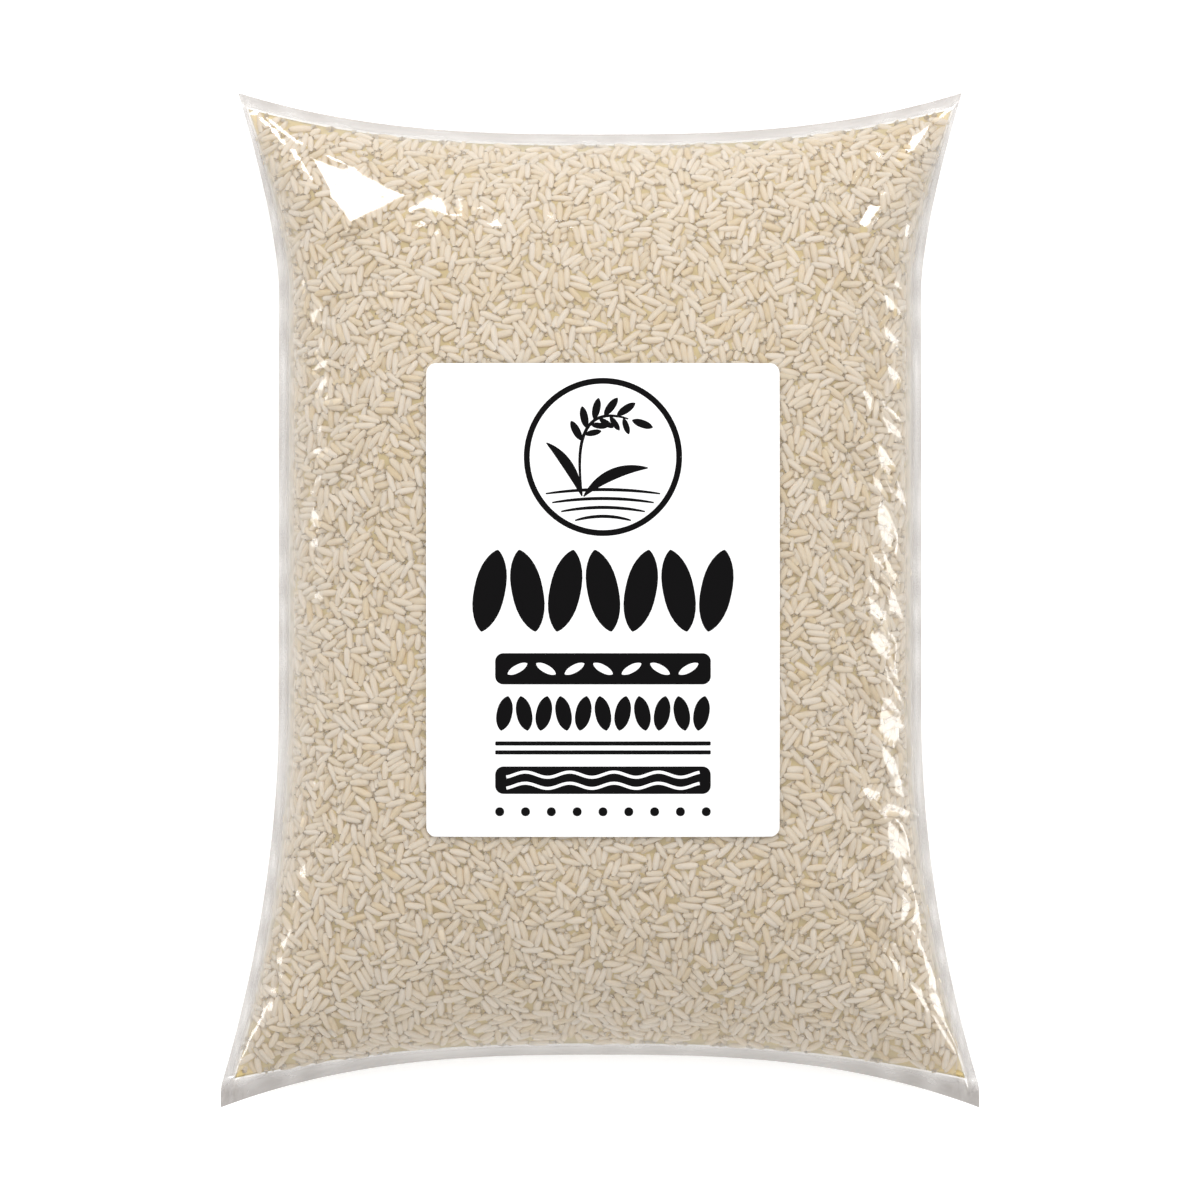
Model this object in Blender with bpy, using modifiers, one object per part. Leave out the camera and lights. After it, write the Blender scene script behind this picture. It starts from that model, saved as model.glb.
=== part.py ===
"""A clear pillow bag of long grain rice, lying on its back with its label up.

Metres, +Z up. +X is the label's right, +Y runs to the bag's top end, and the origin is under
the middle of the bag, on the surface that it lies on. The bag is one solid, because its film
is shut tight round the rice: a pillow with a thin band of empty film all round, which is the
fold at the sides and the heat seal at the ends. The label is a thin sheet that follows the
pillow's front.
"""

import math

import bmesh
import bpy
import numpy as np
from mathutils import Vector

# The bag's outline, seen from above. The bottom corners are the widest place.
BAG_LENGTH = 0.2770
BOTTOM_WIDTH = 0.2070
TOP_WIDTH = 0.1976
WAIST_WIDTH = 0.1748
TOP_EDGE_DIP = 0.0112
BOTTOM_EDGE_DIP = 0.0142
DIP_POWER = 2.7
TOP_FLARE_START = 0.085
BOTTOM_FLARE_START = -0.030
TOP_FLARE_POWER = 1.45
BOTTOM_FLARE_POWER = 1.95
SEAL_CUT_LENGTH = 0.0055

# The band of empty film round the rice.
SIDE_BAND = 0.0027
SEAL_WIDTH = 0.0075
SEAL_SEEN_AT_MIDDLE = 0.0029
SEAL_SEEN_AT_CORNER = 0.0068
BAND_THICKNESS = 0.0005

# The filled pillow.
BAG_THICKNESS = 0.0530
RIM_HEIGHT_AT_SIDE = 0.0200
RIM_HEIGHT_AT_END = 0.0125
SIDE_ROUND_POWER = 3.0
SIDE_ROUND_ROOT = 0.56
END_ROUND_POWER = 3.0
END_ROUND_ROOT = 0.74
UNDERSIDE_FLATNESS = 1.6

# Puckers where the slack film gathers down each side, and the ridges that run out to the corners.
PUCKER_PITCH = 0.0150
PUCKER_DEPTH_RIGHT = 0.0015
PUCKER_DEPTH_LEFT = 0.0009
PUCKER_SLANT = 0.9
PUCKER_CENTRE = 0.86
PUCKER_REACH = 0.17
CORNER_RIDGE_HEIGHT = 0.0030
CORNER_RIDGE_WIDTH = 0.0080
CORNER_RIDGE_LENGTH = 0.050

# The label, and how it stands off the film.
LABEL_WIDTH = 0.0952
LABEL_HEIGHT = 0.1276
LABEL_CORNER = 0.0022
LABEL_CENTRE = Vector((0.0008, 0.0))
LABEL_THICKNESS = 0.0003
LABEL_GAP = 0.0004

# How finely each shape is divided.
BODY_COLUMNS = 34
BODY_ROWS = 70
LABEL_COLUMNS = 14
LABEL_ROWS = 16
LABEL_CORNER_ROWS = 3
PLACING_ROUNDS = 12

# Colours are linear, and roughness and metallic are plain shares.
RICE_IN_FILM = (0.620, 0.530, 0.400, 1.0)
LABEL_WHITE = (0.880, 0.880, 0.880, 1.0)


def clear_scene():
    """Removes what the file opened with."""
    for obj in list(bpy.data.objects):
        bpy.data.objects.remove(obj)


def material(name, colour, roughness, metallic=0.0):
    """A Principled material of one plain finish."""
    made = bpy.data.materials.new(name)
    made.use_nodes = True
    shader = made.node_tree.nodes["Principled BSDF"]
    shader.inputs["Base Color"].default_value = colour
    shader.inputs["Roughness"].default_value = roughness
    shader.inputs["Metallic"].default_value = metallic
    return made


def flared(along, start, end, power):
    """How far along lies from start to end, from 0 to 1, raised to power."""
    share = np.clip((along - start) / (end - start), 0.0, 1.0)
    return share**power


def outer_half_width(y):
    """Half the bag's width at y: a straight waist that flares to both ends."""
    top = flared(y, TOP_FLARE_START, BAG_LENGTH / 2, TOP_FLARE_POWER)
    bottom_end = -BAG_LENGTH / 2 + SEAL_CUT_LENGTH
    bottom = flared(y, BOTTOM_FLARE_START, bottom_end, BOTTOM_FLARE_POWER)
    widened = (TOP_WIDTH - WAIST_WIDTH) * top + (BOTTOM_WIDTH - WAIST_WIDTH) * bottom
    return (WAIST_WIDTH + widened) / 2


def outer_end(x, top):
    """The cut edge of an end at x: it dips towards the middle of the bag between its corners."""
    half = (TOP_WIDTH if top else BOTTOM_WIDTH) / 2
    dip = TOP_EDGE_DIP if top else BOTTOM_EDGE_DIP
    rise = dip * np.clip(np.abs(x) / half, 0.0, 1.0) ** DIP_POWER
    reach = BAG_LENGTH / 2 - dip + rise
    return reach if top else -reach


def seal_seen(x):
    """How wide the seal looks from above at x: it lies flat at the corners and hangs between them."""
    share = np.clip(np.abs(x) / (BOTTOM_WIDTH / 2), 0.0, 1.0) ** 4
    return SEAL_SEEN_AT_MIDDLE + (SEAL_SEEN_AT_CORNER - SEAL_SEEN_AT_MIDDLE) * share


def inner_half_width(y):
    return outer_half_width(y) - SIDE_BAND


def inner_end(x, top):
    seen = seal_seen(x)
    return outer_end(x, top) + (-seen if top else seen)


def shares(x, y):
    """(across, along): where a point lies between the filled body's sides and ends, from -1 to 1."""
    across = x / inner_half_width(y)
    top, bottom = inner_end(x, True), inner_end(x, False)
    along = (2 * y - top - bottom) / (top - bottom)
    return np.clip(across, -1.0, 1.0), np.clip(along, -1.0, 1.0)


def rim_height(along):
    """Height of the line where front and back film meet."""
    return RIM_HEIGHT_AT_SIDE - (RIM_HEIGHT_AT_SIDE - RIM_HEIGHT_AT_END) * np.abs(along) ** 3


def fullness(across, along):
    """How far the pillow is blown up, from 0 at its rim to 1 at its middle."""
    from_side = (1 - np.abs(across) ** SIDE_ROUND_POWER) ** SIDE_ROUND_ROOT
    from_end = (1 - np.abs(along) ** END_ROUND_POWER) ** END_ROUND_ROOT
    return from_side * from_end


def pucker_relief(x, y, across, along):
    """The gathers down each side: slanting waves that are deepest on the shoulder and fade inwards."""
    slanted = y + PUCKER_SLANT * np.abs(x)
    uneven = 0.35 * np.sin(slanted / 0.031 + np.sign(x))
    wave = np.cos(2 * math.pi * slanted / PUCKER_PITCH + 2.2 * uneven)
    place = np.exp(-(((np.abs(across) - PUCKER_CENTRE) / PUCKER_REACH) ** 2))
    fade = np.clip(1 - np.abs(across) ** 12, 0, 1) * np.clip(1.1 - np.abs(along) ** 4, 0, 1)
    depth = np.where(x > 0, PUCKER_DEPTH_RIGHT, PUCKER_DEPTH_LEFT)
    return depth * wave * place * fade


def corner_relief(x, y, across, along):
    """A rounded ridge from each corner towards the middle of the bag."""
    relief = np.zeros_like(x)
    for x_side in (-1, 1):
        for y_side in (-1, 1):
            width = TOP_WIDTH if y_side > 0 else BOTTOM_WIDTH
            corner = np.array((x_side * width / 2, y_side * BAG_LENGTH / 2))
            inward = -corner / np.linalg.norm(corner)
            along_ridge = (x - corner[0]) * inward[0] + (y - corner[1]) * inward[1]
            beside = (x - corner[0]) * inward[1] - (y - corner[1]) * inward[0]
            bump = np.exp(-((beside / CORNER_RIDGE_WIDTH) ** 2))
            share = np.clip(along_ridge / CORNER_RIDGE_LENGTH, 0, 1)
            relief += CORNER_RIDGE_HEIGHT * bump * (4 * share * (1 - share)) ** 1.5
    return relief * np.clip(4 * fullness(across, along), 0, 1)


def front_height(x, y):
    """Height of the film's front over (x, y)."""
    across, along = shares(x, y)
    rim = rim_height(along) + BAND_THICKNESS / 2
    blown = (BAG_THICKNESS - rim) * fullness(across, along)
    return rim + blown + pucker_relief(x, y, across, along) + corner_relief(x, y, across, along)


def back_height(x, y):
    """Height of the film's back over (x, y): flat on the ground under most of the bag."""
    across, along = shares(x, y)
    rim = rim_height(along) - BAND_THICKNESS / 2
    lifted = np.clip(1 - UNDERSIDE_FLATNESS * fullness(across, along), 0, 1)
    return rim * lifted**2


def seal_height(x, front):
    """Height of the cut edge of an end at x, which hangs below the line where the seal begins."""
    seen = seal_seen(x)
    hang = np.sqrt(np.maximum(SEAL_WIDTH**2 - seen**2, 0))
    half_thickness = BAND_THICKNESS / 2
    return RIM_HEIGHT_AT_END - hang + (half_thickness if front else -half_thickness)


def stations(count, gathered):
    """Body stations from -1 to 1, which stand closer towards both ends by the share gathered."""
    even = np.linspace(-1, 1, count + 1)
    return (1 - gathered) * even + gathered * np.sin(even * math.pi / 2)


def placed(columns, rows):
    """(x, y) of the body's grid points, so that they keep their shares between sides and ends."""
    across, along = np.meshgrid(columns, rows, indexing="ij")
    x = across * WAIST_WIDTH / 2
    y = along * BAG_LENGTH / 2
    for _ in range(PLACING_ROUNDS):
        top, bottom = inner_end(x, True), inner_end(x, False)
        y = (top + bottom) / 2 + along * (top - bottom) / 2
        x = across * inner_half_width(y)
    return x, y


def bag_layer(front):
    """Points of the front or back film as an array of columns and rows, with the band all round."""
    columns = stations(BODY_COLUMNS, 0.85)
    rows = stations(BODY_ROWS, 0.35)
    inner_x, inner_y = placed(columns, rows)
    points = np.zeros((len(columns) + 2, len(rows) + 2, 3))
    height = front_height if front else back_height
    points[1:-1, 1:-1, 0] = inner_x
    points[1:-1, 1:-1, 1] = inner_y
    points[1:-1, 1:-1, 2] = height(inner_x, inner_y)
    half_thickness = BAND_THICKNESS / 2 if front else -BAND_THICKNESS / 2
    for column, side in ((0, -1), (-1, 1)):
        beside = points[column + side * -1, 1:-1]
        points[column, 1:-1, 0] = side * outer_half_width(beside[:, 1])
        points[column, 1:-1, 1] = beside[:, 1]
        points[column, 1:-1, 2] = rim_height(shares(beside[:, 0], beside[:, 1])[1]) + half_thickness
    for row, top in ((0, False), (-1, True)):
        beside = points[1:-1, row + (-1 if top else 1)]
        points[1:-1, row, 0] = beside[:, 0]
        points[1:-1, row, 1] = outer_end(beside[:, 0], top)
        points[1:-1, row, 2] = seal_height(beside[:, 0], front)
        for column, side in ((0, -1), (-1, 1)):
            corner_y = outer_end(side * 1.0, top)
            corner_x = side * outer_half_width(corner_y)
            points[column, row] = (corner_x, corner_y, seal_height(corner_x, front))
    return points


def grid_box(name, columns, rows):
    """A cube primitive cut into a slab of columns by rows cells, one cell thick, from 0 to 1 each way."""
    bpy.ops.mesh.primitive_cube_add(size=1)
    slab = bpy.context.active_object
    slab.name = slab.data.name = name
    mesh = bmesh.new()
    mesh.from_mesh(slab.data)
    for axis, count in ((0, columns), (1, rows)):
        for step in range(1, count):
            cut = Vector((0, 0, 0))
            normal = Vector((0, 0, 0))
            cut[axis] = step / count - 0.5
            normal[axis] = 1
            everything = mesh.verts[:] + mesh.edges[:] + mesh.faces[:]
            bmesh.ops.bisect_plane(mesh, geom=everything, plane_co=cut, plane_no=normal)
    bmesh.ops.translate(mesh, verts=mesh.verts, vec=(0.5, 0.5, 0.5))
    mesh.to_mesh(slab.data)
    mesh.free()
    return slab


def make_bag(finish):
    """The sealed bag: a slab of cells, each corner moved to its place on the front or back film."""
    front, back = bag_layer(True), bag_layer(False)
    columns, rows = front.shape[0] - 1, front.shape[1] - 1
    bag = grid_box("bag", columns, rows)
    for vertex in bag.data.vertices:
        column = round(vertex.co.x * columns)
        row = round(vertex.co.y * rows)
        layer = front if vertex.co.z > 0.5 else back
        vertex.co = Vector(layer[column, row])
    bag.data.shade_smooth()
    bag.data.materials.append(finish)
    return bag


def label_half_width(y):
    """Half the label's width at a height y from its middle: less where its corners are rounded."""
    past = np.clip(np.abs(y) - (LABEL_HEIGHT / 2 - LABEL_CORNER), 0, LABEL_CORNER)
    return LABEL_WIDTH / 2 - LABEL_CORNER + np.sqrt(LABEL_CORNER**2 - past**2)


def label_rows():
    """Row places from the label's middle: even between its corners, and by angle round them."""
    straight = LABEL_HEIGHT / 2 - LABEL_CORNER
    even = np.linspace(-straight, straight, LABEL_ROWS + 1)
    turns = np.arange(1, LABEL_CORNER_ROWS + 1) / LABEL_CORNER_ROWS * math.pi / 2
    beyond = straight + LABEL_CORNER * np.sin(turns)
    return np.concatenate((-beyond[::-1], even, beyond))


def make_label(finish):
    """The label: a grid primitive laid over the front film, then made solid outwards."""
    rows = label_rows()
    row_count = len(rows) - 1
    bpy.ops.mesh.primitive_grid_add(
        x_subdivisions=LABEL_COLUMNS, y_subdivisions=row_count, size=2
    )
    label = bpy.context.active_object
    label.name = label.data.name = "label"
    for vertex in label.data.vertices:
        across = vertex.co.x
        y = rows[round((vertex.co.y + 1) / 2 * row_count)]
        x = across * label_half_width(y) + LABEL_CENTRE.x
        y += LABEL_CENTRE.y
        vertex.co = Vector((x, y, float(front_height(np.array(x), np.array(y))) + LABEL_GAP))
    thickness = label.modifiers.new("paper", "SOLIDIFY")
    thickness.thickness = LABEL_THICKNESS
    thickness.offset = 1.0
    label.data.materials.append(finish)
    return label


def main():
    clear_scene()
    collection = bpy.data.collections.new("bag_of_rice")
    bpy.context.scene.collection.children.link(collection)
    parts = [
        make_bag(material("rice_in_film", RICE_IN_FILM, 0.35)),
        make_label(material("label_white", LABEL_WHITE, 0.45)),
    ]
    for part in parts:
        for holder in list(part.users_collection):
            holder.objects.unlink(part)
        collection.objects.link(part)


main()
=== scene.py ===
"""The looks of a clear bag of long grain rice that lies on its back, seen from straight above.

The bag's solid is replaced by what it stands for: a shut envelope of clear film, a bed of rice
inside it, and a few layers of loose grains that are settled against the film. The label's solid
is replaced by a finer sheet of coated paper with black print on it.
"""

import math

import bpy
import numpy as np
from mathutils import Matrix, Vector

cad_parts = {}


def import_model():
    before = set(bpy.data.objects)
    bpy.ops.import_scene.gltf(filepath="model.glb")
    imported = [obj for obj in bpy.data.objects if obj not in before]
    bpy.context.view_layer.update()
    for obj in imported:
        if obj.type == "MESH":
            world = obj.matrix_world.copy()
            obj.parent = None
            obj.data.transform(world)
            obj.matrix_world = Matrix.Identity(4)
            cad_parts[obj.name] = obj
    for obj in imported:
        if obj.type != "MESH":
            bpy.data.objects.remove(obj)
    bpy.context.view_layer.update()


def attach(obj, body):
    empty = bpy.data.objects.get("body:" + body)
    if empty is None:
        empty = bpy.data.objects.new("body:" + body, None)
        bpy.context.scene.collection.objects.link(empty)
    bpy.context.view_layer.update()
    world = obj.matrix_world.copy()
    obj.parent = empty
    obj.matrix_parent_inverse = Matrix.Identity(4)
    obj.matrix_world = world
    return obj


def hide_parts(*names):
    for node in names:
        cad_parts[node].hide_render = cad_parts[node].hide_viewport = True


MM = 0.001
SEED = 20

# The outline of the bag and the swell of its two sides, as the solid has them.
BAG_LENGTH = 277.0 * MM
BOTTOM_WIDTH = 207.0 * MM
TOP_WIDTH = 197.6 * MM
WAIST_WIDTH = 174.8 * MM
TOP_EDGE_DIP = 11.2 * MM
BOTTOM_EDGE_DIP = 14.2 * MM
DIP_POWER = 2.7
TOP_FLARE_START = 85.0 * MM
BOTTOM_FLARE_START = -30.0 * MM
TOP_FLARE_POWER = 1.45
BOTTOM_FLARE_POWER = 1.95
SEAL_CUT_LENGTH = 5.5 * MM
SIDE_BAND = 2.7 * MM
TOP_BAND_LOSS = 0.7
TOP_BAND_LOSS_START = 95.0 * MM
SEAL_WIDTH = 7.5 * MM
SEAL_SEEN_AT_MIDDLE = 2.9 * MM
SEAL_SEEN_AT_CORNER = 6.8 * MM
SEAL_SEEN_AT_TOP_CORNER = 3.4 * MM
BAND_THICKNESS = 0.5 * MM
BAG_THICKNESS = 53.0 * MM
RIM_HEIGHT_AT_SIDE = 20.0 * MM
RIM_HEIGHT_AT_END = 12.5 * MM
SIDE_ROUND_POWER = 3.0
SIDE_ROUND_ROOT = 0.56
END_ROUND_POWER = 3.0
END_ROUND_ROOT = 0.74
UNDERSIDE_FLATNESS = 1.6
PUCKER_PITCH = 15.0 * MM
PUCKER_DEPTH_RIGHT = 0.9 * MM
PUCKER_DEPTH_LEFT = 0.5 * MM
LEFT_PUCKER_FADE = 40.0 * MM
PUCKER_SLANT = 0.9
PUCKER_CENTRE = 0.86
PUCKER_REACH = 0.17
CORNER_RIDGE_HEIGHT = 3.0 * MM
CORNER_RIDGE_WIDTH = 8.0 * MM
CORNER_RIDGE_LENGTH = 50.0 * MM
HOLLOW_DEPTH = 0.35 * MM

# Facets where the film is stretched flat from a corner: its corners in millimetres, left turning,
# and how far it fades out.
FACETS = (
    (((-78.0, 120.0), (-67.5, 102.0), (-53.0, 109.5)), 3.0),
    (((69.5, 101.5), (72.5, 101.0), (76.5, 107.0), (73.0, 107.5)), 1.2),
)

# The film's shares of gloss and of milk where it faces the eye and where it is seen edge on, and
# the roughness of its gloss where it lies on grains and where it is taut.
FILM_SHINE = (0.07, 0.45)
FILM_MILK = (0.065, 0.42)
FILM_ROUGHNESS = (0.09, 0.16)

# How milky the film is inside its rim, and how far that goes in: at the sides and at the ends. Then
# what milk a share of 1 adds, how much more milky and grey the seals are (the grey is partly
# painted shade), and how streaky the band is.
SIDE_HAZE = 2.8
SIDE_HAZE_FADE = 2.6 * MM
END_HAZE = 0.4
END_HAZE_FADE = 4.0 * MM
EDGE_MILK = 0.11
TOP_SEAL_MILK = 1.0
BOTTOM_SEAL_MILK = 1.1
BAND_STREAKS = 0.2

# The film's grid.
FILM_COLUMNS = 212
FILM_ROWS = 400
BAND_CELLS = 4
PLACING_ROUNDS = 12

# One grain of milled long grain rice, how much the grains differ, what share of the light passes
# through them, and their tone from dark to light.
GRAIN_LENGTH = 6.7 * MM
GRAIN_WIDTH = 2.0 * MM
GRAIN_THICKNESS = 1.65 * MM
GRAIN_VOLUME_SHARE = 0.66
LENGTH_SPREAD = 0.07
WIDTH_SPREAD = 0.06
BROKEN_SHARE = 0.07
BROKEN_LENGTHS = (0.55, 0.85)
PASSED_SHARE = 0.38
TONE_MEAN = 0.48
TONE_SPREAD = 0.2

# The loose grains fill a shell under each film, front and back, and the bed of rice is inside that.
SHELL_DEPTHS = (3.6 * MM, 2.8 * MM)
BED_DEPTHS = (1.42 * MM, 1.55 * MM)
BED_RIM_GAP = 0.5 * MM
SHELL_FILL = 0.82
THINNEST_FILL = 3.4 * MM
FILM_CLEARANCE = 0.16 * MM
SETTLING_ROUNDS = 110
ROUNDS_PER_SEARCH = 8
SEARCH_REACH = 2.6 * MM

# How much the grains tilt out of the film's plane before they settle, and how far one follows the
# push on it in a round. Then how much of the way one that is too deep is drawn back to its shell,
# from no deeper than LONGEST_DRAW, and how far past the film a grain that is kept may end.
GRAIN_TILT = 0.22
PUSH_GAIN = 1.4
DRAW_SHARE = 0.5
LONGEST_DRAW = 0.5 * MM
PAST_FILM = 0.3 * MM

# A grain is four balls in a row while it settles: where each sits along it, and how wide it is there.
BALL_PLACES = np.array((-0.72, -0.25, 0.25, 0.72))
BALL_SIZES = np.array((0.76, 1.0, 1.0, 0.76))

# The label, which is stuck on the outside of the film.
LABEL_WIDTH = 95.2 * MM
LABEL_HEIGHT = 127.6 * MM
LABEL_CORNER = 2.6 * MM
LABEL_CENTRE = (0.8 * MM, 0.0)
LABEL_GAP = 0.4 * MM
LABEL_HOLD = 12.0 * MM
LABEL_THICKNESS = 0.3 * MM
INK_HEIGHT = 0.04 * MM

# The label's print, in millimetres from the label's middle.
PRINT_WIDTH = 58.0
RING_CENTRE = (0.0, 38.5)
RING_RADIUS = 20.5
EAR_GRAINS = 11
FURROWS = 4
BOLD_GRAINS = 7
BOLD_WIDTH = 72.0
BARE_GRAINS = 7
SMALL_GRAINS = 11
DOTS = 9

# The camera looks straight down through a long lens.
FRAME_WIDTH = 326.4 * MM
CAMERA_HEIGHT = 3.0
SENSOR_WIDTH = 36.0

# Where each lamp stands: degrees left of the bag's top end, degrees up, and metres away.
KEY_LAMP = (15.0, 22.0, 1.3)
RIGHT_LAMP = (-97.0, -6.0, 1.1)
LEFT_LAMP = (102.0, 4.0, 1.1)
TOP_LAMP = (0.0, 52.0, 1.6)

# The lamps: name, place, width and height in metres, brightness, and whether only for glints.
LAMPS = (
    ("key_box", KEY_LAMP, (0.30, 0.22), 14.0, True),
    ("right_box", RIGHT_LAMP, (0.22, 0.22), 6.5, True),
    ("left_box", LEFT_LAMP, (0.15, 0.15), 7.5, True),
    ("top_box", TOP_LAMP, (1.6, 1.1), 2.75, False),
)
ROOM_BRIGHTNESS = 0.85

# Flats that are pulled into the film beside its puckers, and shine where they face a lamp. In
# millimetres: half width, and x and y of the two ends. A flat fades out at FLAT_REACH half widths.
FLAT_REACH = 1.6
RIGHT_FLATS = (
    (0.9, 80, 87.5, 81.5, 83.5), (1.3, 76.5, 84, 81.5, 76.5), (0.6, 81.5, 76.5, 83.5, 72),
    (1.2, 76.5, 75.5, 81, 67.5), (1, 77.5, 65, 81, 57.5), (1.7, 71, 57.5, 75.5, 50),
    (1.2, 75.5, 50.5, 82.5, 43), (0.7, 74, 56.5, 81, 48), (1.5, 75.5, 42.5, 79.5, 33),
    (1.3, 79, 34, 83, 25), (0.7, 74, 41.5, 80, 30.5), (1, 73, 35, 78, 26.5), (2.2, 76, 27, 78.5, 14),
    (0.8, 72, 14.5, 79.5, 5.5), (1, 76, 15, 80.5, 3), (1.2, 71.5, 7, 78, 0.5),
    (1.1, 77.5, 1.5, 82.5, -5), (1.6, 72.5, 1.5, 78, -8.5), (1, 78, -8, 80.5, -13.5),
    (2.4, 73.5, -8.5, 78.5, -16), (0.6, 76.5, -16.5, 81.5, -28.5), (0.9, 78.5, -17.5, 81, -22),
    (1.1, 75, -25.5, 82, -31), (2.1, 76.5, -29, 79.5, -40.5), (0.9, 79.5, -31.5, 83, -35),
    (1.5, 76.5, -39, 80, -48.5), (0.7, 79.5, -48, 83.5, -55.5), (1.8, 70.5, -50, 76.5, -56),
    (1.4, 76, -55.5, 86, -58.5), (0.9, 74, -55.5, 80.5, -62.5), (2.2, 78.5, -60.5, 82.5, -71.5),
    (1, 82, -71, 84.5, -78.5), (1.4, 83.5, -78.5, 82.5, -87), (0.7, 77, -95, 83.5, -91.5),
    (0.6, 77, -95, 87, -96.5), (0.9, 77, -95, 84, -103.5), (0.9, 83.5, -103, 90.5, -113),
    (0.8, 90, -112.5, 97, -123.5),
)
LEFT_FLATS = (
    (0.7, -80.5, 89.5, -80.5, 83.5), (0.7, -78.5, 87.5, -74.5, 89.5), (1.6, -78, 74.5, -75.5, 80),
    (1.2, -76, 76.5, -74, 74), (0.6, -74, 73.5, -78, 63.5), (1.4, -78.5, 61.5, -73, 65.5),
    (1.3, -76.5, 55, -74, 61), (0.7, -73.5, 57.5, -74.5, 52), (0.6, -75, 49, -77, 42.5),
    (1.8, -77.5, 41, -75, 39.5), (0.5, -75, 35, -77.5, 30.5), (1.4, -77.5, 26, -77, 18.5),
    (1.1, -77, 18, -77.5, 13.5), (0.5, -76.5, 8, -78.5, 4),
)
END_FLATS = (
    (0.6, 99, 137, 90, 129.5), (1.3, 90, 129.5, 81, 119.5), (0.6, 79, 110.5, 75, 110),
    (0.6, -91.5, 132, -80.5, 123), (0.8, -92, 133.5, -95.5, 132.5), (1, -49.5, 105.5, -46.5, 110),
    (1.2, -45, 105, -41.5, 109.5), (1.1, -40, 105, -36.5, 109), (0.7, -34.5, 105.5, -32, 108),
    (1, 97.5, -128.5, 101, -134.5), (0.8, 101.3, -128.5, 101.8, -134.5),
    (0.8, -101.8, -130.5, -97.5, -130), (0.9, -97.5, -128.5, -100.5, -134.5),
)

# The lamp that each group of flats shines from.
FLAT_GROUPS = ((RIGHT_FLATS, RIGHT_LAMP), (LEFT_FLATS, LEFT_LAMP), (END_FLATS, KEY_LAMP))


def flared(along, start, end, power):
    """How far along lies from start to end, from 0 to 1, raised to power."""
    return np.clip((along - start) / (end - start), 0.0, 1.0) ** power


def outer_half_width(y):
    """Half the bag's width at y: a straight waist that flares to both ends."""
    top = flared(y, TOP_FLARE_START, BAG_LENGTH / 2, TOP_FLARE_POWER)
    bottom_end = -BAG_LENGTH / 2 + SEAL_CUT_LENGTH
    bottom = flared(y, BOTTOM_FLARE_START, bottom_end, BOTTOM_FLARE_POWER)
    widened = (TOP_WIDTH - WAIST_WIDTH) * top + (BOTTOM_WIDTH - WAIST_WIDTH) * bottom
    return (WAIST_WIDTH + widened) / 2


def outer_reach(x, top):
    """How far the cut edge of an end is from the bag's middle at x: least between its corners."""
    half = np.where(top, TOP_WIDTH, BOTTOM_WIDTH) / 2
    dip = np.where(top, TOP_EDGE_DIP, BOTTOM_EDGE_DIP)
    return BAG_LENGTH / 2 - dip * (1 - np.clip(np.abs(x) / half, 0.0, 1.0) ** DIP_POWER)


def side_band(y):
    """How wide the empty band along a side is at y: the rice is pushed out into the top corners."""
    return SIDE_BAND * (1 - TOP_BAND_LOSS * flared(y, TOP_BAND_LOSS_START, BAG_LENGTH / 2, 1.0))


def seal_seen(x, top):
    """How wide the seal looks from above at x: it lies flat at the corners and hangs between them."""
    share = np.clip(np.abs(x) / (BOTTOM_WIDTH / 2), 0.0, 1.0) ** 4
    at_corner = np.where(top, SEAL_SEEN_AT_TOP_CORNER, SEAL_SEEN_AT_CORNER)
    return SEAL_SEEN_AT_MIDDLE + (at_corner - SEAL_SEEN_AT_MIDDLE) * share


def filled_span(x):
    """(middle, half length) of the filled body along Y at x."""
    top = outer_reach(x, True) - seal_seen(x, True)
    bottom = seal_seen(x, False) - outer_reach(x, False)
    return (top + bottom) / 2, (top - bottom) / 2


def shares(x, y):
    """(across, along): where a point lies between the filled body's sides and ends, from -1 to 1."""
    middle, half_length = filled_span(x)
    across = x / (outer_half_width(y) - side_band(y))
    return np.clip(across, -1.0, 1.0), np.clip((y - middle) / half_length, -1.0, 1.0)


def rim_height(along):
    """Height of the line where front and back film meet, which falls towards both ends."""
    return RIM_HEIGHT_AT_SIDE - (RIM_HEIGHT_AT_SIDE - RIM_HEIGHT_AT_END) * np.abs(along) ** 3


def fullness(across, along):
    """How far the pillow is blown up: (1 - a^p)^r across its width times the same along its length."""
    from_side = (1 - np.abs(across) ** SIDE_ROUND_POWER) ** SIDE_ROUND_ROOT
    return from_side * (1 - np.abs(along) ** END_ROUND_POWER) ** END_ROUND_ROOT


def pucker_relief(x, y, across, along):
    """Slanting waves down each side, deepest on the shoulder: depth cos(2 pi s / pitch + wobble)."""
    slanted = y + PUCKER_SLANT * np.abs(x)
    uneven = 0.35 * np.sin(slanted / 0.031 + np.sign(x))
    wave = np.cos(2 * math.pi * slanted / PUCKER_PITCH + 2.2 * uneven)
    place = np.exp(-(((np.abs(across) - PUCKER_CENTRE) / PUCKER_REACH) ** 2))
    fade = np.clip(1 - np.abs(across) ** 12, 0, 1) * np.clip(1.1 - np.abs(along) ** 4, 0, 1)
    left = PUCKER_DEPTH_LEFT * np.clip(0.5 + y / LEFT_PUCKER_FADE, 0, 1)
    return np.where(x > 0, PUCKER_DEPTH_RIGHT, left) * wave * place * fade


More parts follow.
